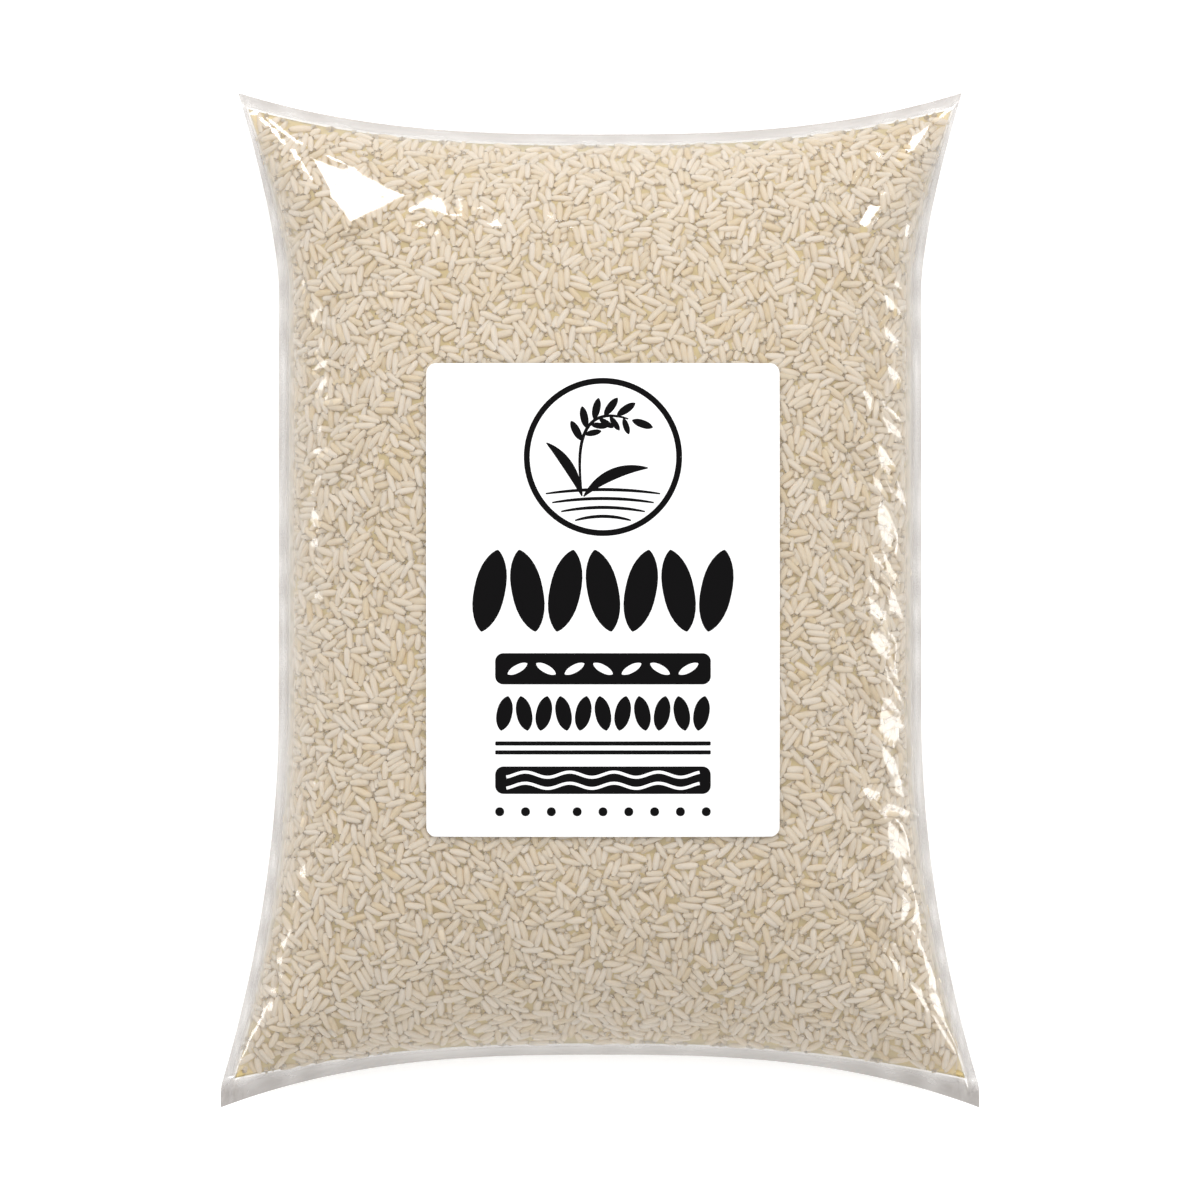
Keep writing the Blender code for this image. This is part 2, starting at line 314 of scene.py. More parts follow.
def corner_relief(x, y, across, along):
    """A rounded ridge from each corner to the middle: a bell across, (4 s (1 - s))^1.5 along."""
    relief = np.zeros_like(x)
    for x_side in (-1, 1):
        for y_side in (-1, 1):
            width = TOP_WIDTH if y_side > 0 else BOTTOM_WIDTH
            corner = np.array((x_side * width / 2, y_side * BAG_LENGTH / 2))
            inward = -corner / np.linalg.norm(corner)
            along_ridge = (x - corner[0]) * inward[0] + (y - corner[1]) * inward[1]
            beside = (x - corner[0]) * inward[1] - (y - corner[1]) * inward[0]
            share = np.clip(along_ridge / CORNER_RIDGE_LENGTH, 0, 1)
            bump = np.exp(-((beside / CORNER_RIDGE_WIDTH) ** 2))
            relief += CORNER_RIDGE_HEIGHT * bump * (4 * share * (1 - share)) ** 1.5
    return relief * np.clip(4 * fullness(across, along), 0, 1)


def settled_relief(x, y, across, along):
    """Shallow hollows where the rice has settled: one wave across times one along, both bent.

    The label holds the film even under it, so they fade out towards it.
    """
    waves = np.sin(x / 3.3e-3 + 1.7 * np.sin(y / 8.0e-3)) * np.sin(y / 4.1e-3 + 1.3 * np.sin(x / 9.5e-3))
    past_side = np.abs(x - LABEL_CENTRE[0]) - LABEL_WIDTH / 2
    past_end = np.abs(y - LABEL_CENTRE[1]) - LABEL_HEIGHT / 2
    free = np.clip(np.maximum(past_side, past_end) / LABEL_HOLD, 0, 1)
    return HOLLOW_DEPTH * waves * free * np.clip(3 * fullness(across, along) ** 2, 0, 1)


def swollen_height(x, y):
    """Height of the front before it has facets: the solid's swell and ridges, puckers, and hollows."""
    across, along = shares(x, y)
    rim = rim_height(along) + BAND_THICKNESS / 2
    blown = (BAG_THICKNESS - rim) * fullness(across, along)
    relief = pucker_relief(x, y, across, along) + corner_relief(x, y, across, along)
    return rim + blown + relief + settled_relief(x, y, across, along)


def facet_share(x, y, points, fade):
    """1 inside a convex outline in millimetres, falling to 0 over the fade outside it."""
    outside = np.full(x.shape, -np.inf)
    for start, end in zip(points, points[1:] + points[:1]):
        step = np.subtract(end, start) / math.dist(start, end)
        outside = np.maximum(outside, (x / MM - start[0]) * step[1] - (y / MM - start[1]) * step[0])
    share = np.clip(1 - outside / fade, 0, 1)
    return share * share * (3 - 2 * share)


def lamp_place(lamp):
    """Where a lamp stands, from (azimuth, elevation, distance)."""
    turn, lift = math.radians(lamp[0]), math.radians(lamp[1])
    direction = (-math.sin(turn) * math.cos(lift), math.cos(turn) * math.cos(lift), math.sin(lift))
    return Vector(direction) * lamp[2]


def shining_plane(x, y, start, lamp):
    """Heights of a plane through start that mirrors the lamp upwards: it faces halfway between them."""
    start = Vector(start)
    to_lamp = (lamp_place(lamp) - start).normalized()
    to_eye = (Vector((0.0, 0.0, CAMERA_HEIGHT)) - start).normalized()
    normal = to_lamp + to_eye
    return start.z - (normal.x * (x - start.x) + normal.y * (y - start.y)) / normal.z


def front_height(x, y):
    """Height of the film's front: the solid's, with a plane in the place of it on each facet."""
    height = swollen_height(x, y)
    for points, fade in FACETS:
        middle = np.mean(points, axis=0) * MM
        start = (*middle, swollen_height(*(np.array([value]) for value in middle))[0])
        plane = shining_plane(x, y, start, KEY_LAMP)
        height = height + facet_share(x, y, points, fade) * (plane - height)
    return height


def back_height(x, y):
    """Height of the film's back: rim (1 - k F)^2, so it is flat on the ground under most of the bag."""
    across, along = shares(x, y)
    lifted = np.clip(1 - UNDERSIDE_FLATNESS * fullness(across, along), 0, 1)
    return (rim_height(along) - BAND_THICKNESS / 2) * lifted**2


def srgb(code):
    """Linear red, green, blue and 1 from an sRGB hex code."""
    parts = np.array([int(code[i:i + 2], 16) for i in (1, 3, 5)]) / 255
    linear = np.where(parts <= 0.04045, parts / 12.92, ((parts + 0.055) / 1.055) ** 2.4)
    return (*linear.tolist(), 1.0)


def mesh_object(name, points, faces, material):
    """A smooth mesh object from arrays: points (n, 3), and faces as a list of (m, k) index arrays."""
    mesh = bpy.data.meshes.new(name)
    corners = np.concatenate([block.ravel() for block in faces])
    sizes = np.concatenate([np.full(len(block), block.shape[1]) for block in faces])
    mesh.vertices.add(len(points))
    mesh.vertices.foreach_set("co", np.asarray(points, np.float32).ravel())
    mesh.loops.add(len(corners))
    mesh.loops.foreach_set("vertex_index", corners.astype(np.int32))
    mesh.polygons.add(len(sizes))
    starts = np.concatenate(([0], np.cumsum(sizes)[:-1]))
    mesh.polygons.foreach_set("loop_start", starts.astype(np.int32))
    mesh.update(calc_edges=True)
    mesh.validate()
    mesh.shade_smooth()
    mesh.materials.append(material)
    made = bpy.data.objects.new(name, mesh)
    bpy.context.scene.collection.objects.link(made)
    return made


def grid_quads(index):
    """Quads of a grid of vertex numbers, facing the side from which columns by rows turn left."""
    corners = (index[:-1, :-1], index[1:, :-1], index[1:, 1:], index[:-1, 1:])
    return np.stack(corners, axis=-1).reshape(-1, 4)


def pillow_block(front, back):
    """(points, faces) of a shut skin from two grids of points that share their outer border."""
    columns, rows = front.shape[:2]
    front_index = np.arange(columns * rows).reshape(columns, rows)
    back_index = front_index.copy()
    inside = (columns - 2) * (rows - 2)
    back_index[1:-1, 1:-1] = columns * rows + np.arange(inside).reshape(columns - 2, rows - 2)
    points = np.concatenate((front.reshape(-1, 3), back[1:-1, 1:-1].reshape(-1, 3)))
    return points, [grid_quads(front_index), grid_quads(back_index)[:, ::-1]]


def stations(count, gathered):
    """Places from -1 to 1 that stand closer towards both ends by the share gathered."""
    even = np.linspace(-1, 1, count + 1)
    return (1 - gathered) * even + gathered * np.sin(even * math.pi / 2)


def graded(count, crowd, reach, thicker):
    """Places from -1 to 1 that stand closer round +-crowd and towards both ends.

    Their number for each step is 1 + c exp(-((|p| - crowd) / reach)^2) + 25 exp(-(1 - |p|) / 0.008).
    """
    place = np.linspace(-1, 1, 4001)
    density = 1 + thicker * np.exp(-(((np.abs(place) - crowd) / reach) ** 2))
    density += 25 * np.exp(-(1 - np.abs(place)) / 0.008)
    passed = np.concatenate(([0], np.cumsum((density[1:] + density[:-1]) / 2)))
    return np.interp(np.linspace(0, passed[-1], count + 1), passed, place)


def banded(inner):
    """(place, band share): inner stations, with BAND_CELLS more at each end that cross the band."""
    outwards = np.arange(1, BAND_CELLS + 1) / BAND_CELLS
    places = np.concatenate((np.full(BAND_CELLS, -1.0), inner, np.full(BAND_CELLS, 1.0)))
    band = np.concatenate((outwards[::-1], np.zeros(len(inner)), outwards))
    return places, band


def placed(across, along, inset=0.0, past_side=0.0, past_end=0.0):
    """(x, y) of places in the filled body, that far inside its rim, or by shares past it in the band."""
    x = across * WAIST_WIDTH / 2
    for _ in range(PLACING_ROUNDS):
        middle, half_length = filled_span(x)
        y = middle + along * (half_length - inset)
        y = y + np.sign(along) * past_end * seal_seen(x, along > 0)
        x = across * (outer_half_width(y) - side_band(y) - inset)
        x = x + np.sign(across) * past_side * side_band(y)
    return x, y


def film_layer(front):
    """The front or back film as a grid of points, out to the cut edge."""
    across, past_side = banded(graded(FILM_COLUMNS, 0.88, 0.10, 4.0))
    along, past_end = banded(graded(FILM_ROWS, 0.90, 0.12, 0.8))
    across, along = np.meshgrid(across, along, indexing="ij")
    past_side, past_end = np.meshgrid(past_side, past_end, indexing="ij")
    x, y = placed(across, along, past_side=past_side, past_end=past_end)
    in_band = np.maximum(past_side, past_end)
    hang = np.sqrt(SEAL_WIDTH**2 - seal_seen(x, False) ** 2) * past_end
    flutter = band_flutter(x, y) * in_band
    apart = BAND_THICKNESS / 2 * (1 - in_band) * (1 if front else -1)
    rim = rim_height(along) - hang + apart + flutter
    height = front_height(x, y) if front else back_height(x, y)
    z = np.where(in_band > 0, rim, height)
    return np.stack((x, y, z), axis=-1), in_band


def band_flutter(x, y):
    """The loose band's ripple along its edge: three sines of unlike lengths, stronger at the corners."""
    corner = np.clip(np.abs(y) / (BAG_LENGTH / 2), 0, 1) ** 8 + 0.15
    ripple = np.sin(y / 3.7e-3 + 1.3) + 0.7 * np.sin(y / 1.9e-3 + x / 1.7e-3)
    return 0.3 * MM * corner * (ripple + np.sin(x / 2.9e-3 + y / 4.1e-3))


def flat_share(x, y, start, end, half_width):
    """1 along the middle of a leaf between two points, falling to 0 at its edge.

    Its edge is FLAT_REACH h (0.3 + 0.7 sin(pi t)^0.7) beside it, where h is the half width.
    """
    route = np.subtract(end, start) * MM
    length = np.linalg.norm(route)
    unit = route / length
    run = np.clip((x - start[0] * MM) * unit[0] + (y - start[1] * MM) * unit[1], 0, length)
    gap = np.hypot(x - start[0] * MM - run * unit[0], y - start[1] * MM - run * unit[1])
    leaf = FLAT_REACH * half_width * MM * (0.3 + 0.7 * np.sin(run / length * math.pi) ** 0.7)
    return np.clip(2.5 * (1 - gap / leaf), 0, 1)


def with_flats(front):
    """(points, taut share): the film's front, with its height replaced by a plane on each flat."""
    x, y, z = np.moveaxis(front, -1, 0)
    taut = np.max([facet_share(x, y, points, fade) for points, fade in FACETS], axis=0)
    for flats, lamp in FLAT_GROUPS:
        for half_width, *ends in flats:
            start, end = ends[:2], ends[2:]
            middle = np.add(start, end) / 2 * MM
            closest = np.argmin(np.hypot(x - middle[0], y - middle[1]))
            foot = (x.flat[closest], y.flat[closest], z.flat[closest])
            share = flat_share(x, y, start, end, half_width)
            z = z + share * (shining_plane(x, y, foot, lamp) - z)
            taut = np.maximum(taut, share)
    return np.stack((x, y, z), axis=-1), taut


def add_node(tree, kind, inputs=None, **settings):
    """Adds a shader node, with its settings, and its inputs as values or as sockets to link from."""
    node = tree.nodes.new(kind)
    for name, value in settings.items():
        setattr(node, name, value)
    for name, value in (inputs or {}).items():
        if isinstance(value, bpy.types.NodeSocket):
            tree.links.new(value, node.inputs[name])
        else:
            node.inputs[name].default_value = value
    return node


def computed(tree, operation, *values):
    """One sum on numbers or sockets."""
    return add_node(tree, "ShaderNodeMath", dict(enumerate(values)), operation=operation).outputs[0]


def ranged(tree, value, low, high):
    """A value from 0 to 1, spread from low to high."""
    spread = {"Value": value, "To Min": low, "To Max": high}
    return add_node(tree, "ShaderNodeMapRange", spread).outputs["Result"]


def stored(tree, name):
    """The number that a mesh holds under a name at each of its points."""
    return add_node(tree, "ShaderNodeAttribute", attribute_name=name).outputs["Fac"]


def noise(tree, scale, detail):
    """Noise that stays with the piece, with that many waves a metre."""
    place = add_node(tree, "ShaderNodeTexCoord").outputs["Object"]
    waves = {"Vector": place, "Scale": scale, "Detail": detail}
    return add_node(tree, "ShaderNodeTexNoise", waves).outputs["Fac"]


def bumped(tree, height, distance, strength=1.0):
    """The normal that a height from 0 to 1 gives, where 1 is the distance."""
    relief = {"Height": height, "Distance": distance, "Strength": strength}
    return add_node(tree, "ShaderNodeBump", relief).outputs["Normal"]


def shader(tree, kind, inputs):
    """One surface shader."""
    return add_node(tree, "ShaderNodeBsdf" + kind, inputs).outputs[0]


def blended(tree, share, first, second):
    """Two shaders mixed, with that share of the second."""
    return add_node(tree, "ShaderNodeMixShader", {0: share, 1: first, 2: second}).outputs[0]


def new_material(name):
    """(material, its node tree) with no nodes."""
    material = bpy.data.materials.new(name)
    material.use_nodes = True
    material.node_tree.nodes.clear()
    return material, material.node_tree


def finished(material, surface):
    """The material, with that shader as its surface."""
    add_node(material.node_tree, "ShaderNodeOutputMaterial", {"Surface": surface})
    return material


def polythene_film():
    """Clear low density polythene, blown thin: glossy on both faces, and faintly milky.

    The attribute edge is about 1 in the band where two films lie together, and fades out inwards.
    The attribute seal is the same in the band, and 0 inside it; it greys the light passed through the
    band, partly as loss through two films and partly as painted shade of the floor under the band.
    The attribute taut is 1 where the film is stretched clear of the grains.
    """
    material, tree = new_material("polythene_film")
    edge, seal, taut = (stored(tree, name) for name in ("edge", "seal", "taut"))
    # The film is drawn down over the grains, so it has dents a grain's width apart.
    slack = computed(tree, "SUBTRACT", 1.0, taut)
    dented = bumped(tree, noise(tree, 260.0, 0.0), 0.2 * MM, slack)
    facing = add_node(tree, "ShaderNodeLayerWeight", {"Blend": 0.5}).outputs["Facing"]
    shine = ranged(tree, computed(tree, "POWER", facing, 4.0), *FILM_SHINE)
    milk = ranged(tree, computed(tree, "POWER", facing, 2.0), *FILM_MILK)
    milkier = computed(tree, "MULTIPLY_ADD", edge, EDGE_MILK, milk)
    # Painted shade, in part: the band passes light greyed to #E7E6E6, for the loss through two films and
    # for the shadow that the band would throw on the floor beneath it.
    seal_loss_and_painted_shade = {"Factor": seal, "A": srgb("#FDFDFD"), "B": srgb("#E7E6E6")}
    passed = add_node(tree, "ShaderNodeMix", seal_loss_and_painted_shade, data_type="RGBA", clamp_factor=False)
    clear = shader(tree, "Transparent", {"Color": passed.outputs["Result"]})
    haze = shader(tree, "Diffuse", {"Color": srgb("#E6E1DA")})
    rough = ranged(tree, taut, *FILM_ROUGHNESS)
    gloss = {"Color": srgb("#FFFFFF"), "Roughness": rough, "Normal": dented}
    body = blended(tree, milkier, clear, haze)
    return finished(material, blended(tree, shine, body, shader(tree, "Glossy", gloss)))


def milled_rice(name, tones, glow, bump_height):
    """Milled raw rice: starchy, pale ivory, and see-through enough for light to pass a thin grain. The
    bed's copy gets darker, more golden tones: painted shade.
    """
    material, tree = new_material(name)
    # The bran that milling leaves, and the chalky belly of a grain, are patches about 1 mm long.
    patches = noise(tree, 900.0, 1.0)
    mixed = computed(tree, "MULTIPLY_ADD", patches, 0.4, stored(tree, "tone"))
    colour = add_node(tree, "ShaderNodeValToRGB", {"Fac": mixed})
    ramp = colour.color_ramp
    ramp.elements.new(0.55)
    for stop, place, tone in zip(ramp.elements, (0.15, 0.55, 1.0), tones):
        stop.position = place
        stop.color = srgb(tone)
    skin = {
        "Base Color": colour.outputs["Color"],
        "Roughness": 0.5,
        "IOR": 1.45,
        "Specular IOR Level": 0.15,
        "Normal": bumped(tree, patches, bump_height),
    }
    inside = shader(tree, "Translucent", {"Color": srgb(glow)})
    return finished(material, blended(tree, PASSED_SHARE, shader(tree, "Principled", skin), inside))


def coated_paper():
    """Coated label stock: bright white paper with a smooth clay coat and a very slight sheen."""
    material, tree = new_material("coated_label_paper")
    fibres = bumped(tree, noise(tree, 1500.0, 2.0), 0.01 * MM)
    paper = {"Base Color": srgb("#FBFBFB"), "Roughness": 0.5, "Normal": fibres}
    return finished(material, shader(tree, "Principled", paper))


def printing_ink():
    """Black offset ink on coated paper, satin where it lies thick."""
    material, tree = new_material("black_printing_ink")
    ink = {"Base Color": srgb("#040304"), "Roughness": 0.6, "Specular IOR Level": 0.12}
    return finished(material, shader(tree, "Principled", ink))


def studio_floor():
    """A plain white lit table: partly its own light, so that what stands on it throws little shadow."""
    material, tree = new_material("studio_floor")
    sheet = {
        "Base Color": srgb("#F4F4F4"),
        "Roughness": 0.9,
        "Emission Color": srgb("#FFFFFF"),
        "Emission Strength": 0.4,
    }
    return finished(material, shader(tree, "Principled", sheet))


def film_edge(x, y, in_band):
    """(edge, seal): how milky the film is, and how much of that is the two films shut together.

    In the band both are 1 at the sides and more where the seals are, with streaks along the cut
    edge. Inside the filled edge the first falls as haze exp(-d / fade), and the second is 0.
    """
    middle, half_length = filled_span(x)
    side_gap = outer_half_width(y) - side_band(y) - np.abs(x)
    end_gap = half_length - np.abs(y - middle)
    gap = np.clip(np.minimum(side_gap, end_gap), 0, None)
    past_end = np.clip((end_gap < 0) * (-end_gap / SEAL_SEEN_AT_MIDDLE), 0, 1)
    sealed = 1 + past_end * np.where(y > 0, TOP_SEAL_MILK, BOTTOM_SEAL_MILK)
    across_band = np.where(np.abs(end_gap) < np.abs(side_gap), y, x)
    along_band = x + y - across_band
    streaks = np.sin(across_band / 0.37e-3 + 2.5 * np.sin(along_band / 11e-3))
    streaks = streaks + np.sin(along_band / 3.1e-3 + 3 * np.sin(along_band / 14e-3))
    banded_share = sealed * (1 + BAND_STREAKS * streaks)
    inner = np.maximum(
        SIDE_HAZE * np.exp(-np.clip(side_gap, 0, None) / SIDE_HAZE_FADE),
        END_HAZE * np.exp(-np.clip(end_gap, 0, None) / END_HAZE_FADE),
    )
    edge = np.where(in_band > 0, banded_share, inner)
    return edge, np.where(gap > 0.01 * MM, 0.0, banded_share)


def set_share(piece, name, values):
    """Stores one number for each point of a piece's mesh, for its material to read."""
    held = piece.data.attributes.new(name, "FLOAT", "POINT")
    held.data.foreach_set("value", np.asarray(values, np.float32).ravel())


def make_film():
    """The shut film: its front with the flats, and its back on a grid half as fine."""
    front, front_band = film_layer(True)
    back, back_band = (layer[::2, ::2] for layer in film_layer(False))
    material = polythene_film()
    pieces = []
    for name, points, in_band in (("film_front", front, front_band), ("film_back", back, back_band)):
        x, y = points[..., 0], points[..., 1]
        quads = grid_quads(np.arange(x.size).reshape(x.shape))
        taut = np.zeros_like(x)
        if name == "film_front":
            points, taut = with_flats(points)
        else:
            quads = quads[:, ::-1]
        film = mesh_object(name, points.reshape(-1, 3), [quads], material)
        for share, values in zip(("edge", "seal", "taut"), (*film_edge(x, y, in_band), taut)):
            set_share(film, share, values)
        pieces.append(film)
    return pieces


def surface_table():
    """Heights and slopes of both films on a fine grid, for placing grains under them.

    Beyond the filled body both heights run on steeply towards each other, so that a grain there
    is pushed back in.
    """
    step = 0.5 * MM
    x = np.arange(-BOTTOM_WIDTH / 2 - 4 * MM, BOTTOM_WIDTH / 2 + 4 * MM, step)
    y = np.arange(-BAG_LENGTH / 2 - 4 * MM, BAG_LENGTH / 2 + 4 * MM, step)
    grid_x, grid_y = np.meshgrid(x, y, indexing="ij")
    middle, half_length = filled_span(grid_x)
    past_side = np.abs(grid_x) - (outer_half_width(grid_y) - side_band(grid_y))
    past_end = np.abs(grid_y - middle) - half_length
    past = 3.0 * np.clip(np.maximum(past_side, past_end), 0, None)
    heights = np.stack((front_height(grid_x, grid_y) - past, back_height(grid_x, grid_y) + past))
    slopes = np.stack(np.gradient(heights, step, axis=(1, 2)), axis=-1)
    slopes = np.clip(slopes, -5.0, 5.0)
    return {"step": step, "x": x, "y": y, "heights": heights, "slopes": slopes}


def nearest(table, axis, values):
    """Index of the table's mark that is nearest to each value along x or y."""
    steps = ((values - table[axis][0]) / table["step"]).round().astype(int)
    return np.clip(steps, 0, len(table[axis]) - 1)


def depths(table, points):
    """(depth, outward normal) of points under the front film and under the back film."""
    column = nearest(table, "x", points[:, 0])
    row = nearest(table, "y", points[:, 1])
    off_x = points[:, 0] - table["x"][column]
    off_y = points[:, 1] - table["y"][row]
    found = []
    for layer, sign in ((0, 1.0), (1, -1.0)):
        slope = table["slopes"][layer, column, row]
        height = table["heights"][layer, column, row] + slope[:, 0] * off_x + slope[:, 1] * off_y
        normal = np.column_stack((-slope, np.ones(len(points)))) * sign
        length = np.linalg.norm(normal, axis=1)
        found.append((sign * (height - points[:, 2]) / length, normal / length[:, None]))
    return found


def nearer_film(layers):
    """(whether it is the front one, depth, outward normal) of the nearer film, from both depths."""
    (front_depth, front_normal), (back_depth, back_normal) = layers
    front = front_depth < back_depth
    depth = np.where(front, front_depth, back_depth)
    return front, depth, np.where(front[:, None], front_normal, back_normal)


def unit(vectors):
    """Each vector at length 1."""
    return vectors / np.linalg.norm(vectors, axis=1)[:, None]


def near_pairs(points, reach):
    """Index pairs of points within reach of each other, found through cells of that size."""
    cell = np.floor(points / reach).astype(np.int64)
    cell -= cell.min(axis=0) - 1
    size = cell.max(axis=0) + 2
    key = (cell[:, 0] * size[1] + cell[:, 1]) * size[2] + cell[:, 2]
    order = np.argsort(key, kind="stable")
    sorted_key = key[order]
    cells, start, count = np.unique(sorted_key, return_index=True, return_counts=True)
    around = [(i, j, k) for i in (-1, 0, 1) for j in (-1, 0, 1) for k in (-1, 0, 1)]
    firsts, seconds = [], []
    for step in around[13:]:
        offset = (step[0] * size[1] + step[1]) * size[2] + step[2]
        where = np.minimum(np.searchsorted(cells, sorted_key + offset), len(cells) - 1)
        hit = np.nonzero(cells[where] == sorted_key + offset)[0]
        many = count[where[hit]]
        first = np.repeat(hit, many)
        begin = start[where[hit]] - np.concatenate(([0], np.cumsum(many)[:-1]))
        second = np.repeat(begin, many) + np.arange(len(first))
        if step == (0, 0, 0):
            first, second = first[first < second], second[first < second]
        first, second = order[first], order[second]
        close = ((points[first] - points[second]) ** 2).sum(axis=1) < reach**2
        firsts.append(first[close])
        seconds.append(second[close])
    return np.concatenate(firsts), np.concatenate(seconds)


def scattered_grains(random, table):
    """Grains strewn through the shell under the film, before they settle.

    Points are drawn evenly over each film's area, which is 1 / cos of its slope for each bit of
    ground, then sunk by an even draw of depths.
    """
    cell_area = table["step"] ** 2
    grid_x, grid_y = np.meshgrid(table["x"], table["y"], indexing="ij")
    across, along = shares(grid_x, grid_y)
    filled = (np.abs(across) < 1) & (np.abs(along) < 1)
    positions = []
    volume = GRAIN_VOLUME_SHARE * GRAIN_LENGTH * GRAIN_WIDTH * GRAIN_THICKNESS
    room = table["heights"][0] - table["heights"][1]
    for layer, sign in ((0, 1.0), (1, -1.0)):
        slope = table["slopes"][layer]
        stretch = np.sqrt(1 + (slope**2).sum(axis=-1))
        thickness = np.minimum(SHELL_DEPTHS[layer], room / 2 / stretch)
        weight = (stretch * thickness * (filled & (room > THINNEST_FILL))).ravel()
        count = int(weight.sum() * cell_area * SHELL_FILL / volume)
        marks = (np.arange(count) + random.random(count)) / count
        pick = np.searchsorted(np.cumsum(weight) / weight.sum(), marks)
        x = grid_x.ravel()[pick] + (random.random(count) - 0.5) * table["step"]
        y = grid_y.ravel()[pick] + (random.random(count) - 0.5) * table["step"]
        sunk = GRAIN_WIDTH / 2 + random.random(count) * (thickness.ravel()[pick] - GRAIN_WIDTH)
        normal = unit(np.column_stack((-slope.reshape(-1, 2)[pick], np.ones(count))) * sign)
        surface = np.column_stack((x, y, table["heights"][layer].ravel()[pick]))
        positions.append(surface - normal * sunk[:, None])
    return np.concatenate(positions)


def settled_grains(random, table):
    """Settles the grains: balls that overlap part, and those outside the shell go back into it.

    A grain follows the mean push on its balls, and turns by the sum of place times push. Returns
    positions, axes, lengths and widths.
    """
    position = scattered_grains(random, table)
    count = len(position)
    length = GRAIN_LENGTH * np.clip(random.normal(1, LENGTH_SPREAD, count), 0.82, 1.2)
    broken = random.random(count) < BROKEN_SHARE
    length[broken] *= random.uniform(*BROKEN_LENGTHS, broken.sum())
    width = GRAIN_WIDTH * np.clip(random.normal(1, WIDTH_SPREAD, count), 0.85, 1.15)
    heading = random.normal(size=(count, 3))
    _, _, normal = nearer_film(depths(table, position))
    flat = unit(heading - (heading * normal).sum(axis=1)[:, None] * normal)
    axis = unit(flat + normal * random.normal(0, GRAIN_TILT, count)[:, None])
    places = length[:, None] / 2 * BALL_PLACES
    radius = ((width + GRAIN_THICKNESS) / 4)[:, None] * BALL_SIZES
    radius = radius.ravel()
    owner = np.repeat(np.arange(count), len(BALL_PLACES))
    for turn in range(SETTLING_ROUNDS):
        balls = (position[:, None, :] + places[..., None] * axis[:, None, :]).reshape(-1, 3)
        if turn % ROUNDS_PER_SEARCH == 0:
            first, second = near_pairs(balls, SEARCH_REACH)
            others = owner[first] != owner[second]
            first, second = first[others], second[others]
        apart = balls[first] - balls[second]
        distance = np.sqrt((apart**2).sum(axis=1)) + 1e-9
        overlap = radius[first] + radius[second] - distance
        touching = overlap > 0
        push = apart[touching] * (overlap[touching] / distance[touching] / 2)[:, None]
        move = np.zeros_like(balls)
        for part in range(3):
            move[:, part] += np.bincount(first[touching], push[:, part], len(balls))
            move[:, part] -= np.bincount(second[touching], push[:, part], len(balls))
        layers = depths(table, balls)
        for depth, outward in layers:
            over = np.clip(radius + FILM_CLEARANCE - depth, 0, None)
            move -= outward * over[:, None]
        front, depth, outward = nearer_film(layers)
        shell = np.where(front, *SHELL_DEPTHS)
        move += outward * np.clip(depth + radius - shell, 0, LONGEST_DRAW)[:, None] * DRAW_SHARE
        pushes = move.reshape(count, -1, 3)
        position += pushes.mean(axis=1) * PUSH_GAIN
        turning = (pushes * places[..., None]).sum(axis=1) / (places**2).sum(axis=1)[:, None]
        axis = unit(axis + (turning - (turning * axis).sum(axis=1)[:, None] * axis))
    balls = (position[:, None, :] + places[..., None] * axis[:, None, :]).reshape(-1, 3)
    least = np.minimum(*(depth for depth, _ in depths(table, balls))) - radius
    held = least.reshape(count, -1).min(axis=1) > -PAST_FILM
    return position[held], axis[held], length[held], width[held]


def grain_shape(sides, rings):
    """(points, faces) of one grain of length 2 and radius 1, along X, with a tip at each end.

    Its radius follows (1 - |t|^3)^0.6, and the rings stand closer towards the tips. Its section is a
    circle whose sides are drawn out, (|sin a|^0.7, |cos a|^0.7), so it is flatter above and below.
    """
    t = np.sin(np.linspace(-1, 1, rings + 2)[1:-1] * math.pi / 2 * 0.96)
    t = np.sign(t) * np.abs(t) ** 0.9
    radius = (1 - np.abs(t) ** 3) ** 0.6
    angle = np.arange(sides) / sides * 2 * math.pi
    section = np.stack((np.cos(angle), np.sin(angle)))
    section = np.sign(section) * np.abs(section) ** 0.7
    ring_x = np.repeat(t, sides)
    ring_y = (radius[:, None] * section[0]).ravel()
    ring_z = (radius[:, None] * section[1]).ravel()
    points = np.concatenate((np.column_stack((ring_x, ring_y, ring_z)), ((-1, 0, 0), (1, 0, 0))))
    index = np.arange(rings * sides).reshape(rings, sides)
    index = np.concatenate((index, index[:, :1]), axis=1)
    first, last = index[0], index[-1]
    start, end = np.full(sides, rings * sides), np.full(sides, rings * sides + 1)
    tips = (np.column_stack((start, first[1:], first[:-1])), np.column_stack((end, last[:-1], last[1:])))
    return points, (grid_quads(index), np.concatenate(tips))


def grain_object(name, shape, grains, tones, up, material):
    """Many grains as one mesh: each is the one shape, stretched, bent a little, turned and placed."""
    position, axis, length, width = grains
    points, faces = shape
    beside = unit(np.cross(up, axis))
    above = np.cross(axis, beside)
    bend = 0.10 * (1 - points[:, 0] ** 2)
    local_x = points[:, 0] * length[:, None] / 2
    local_y = (points[:, 1] + bend) * width[:, None] / 2
    local_z = points[:, 2] * width[:, None] / 2 * (GRAIN_THICKNESS / GRAIN_WIDTH)
    corners = (
        position[:, None, :]
        + local_x[..., None] * axis[:, None, :]
        + local_y[..., None] * beside[:, None, :]
        + local_z[..., None] * above[:, None, :]
    )
    offsets = np.arange(len(position)) * len(points)
    blocks = [(block[None] + offsets[:, None, None]).reshape(-1, block.shape[1]) for block in faces]
    made = mesh_object(name, corners.reshape(-1, 3), blocks, material)
    set_share(made, "tone", np.repeat(tones, len(points)))
    return made


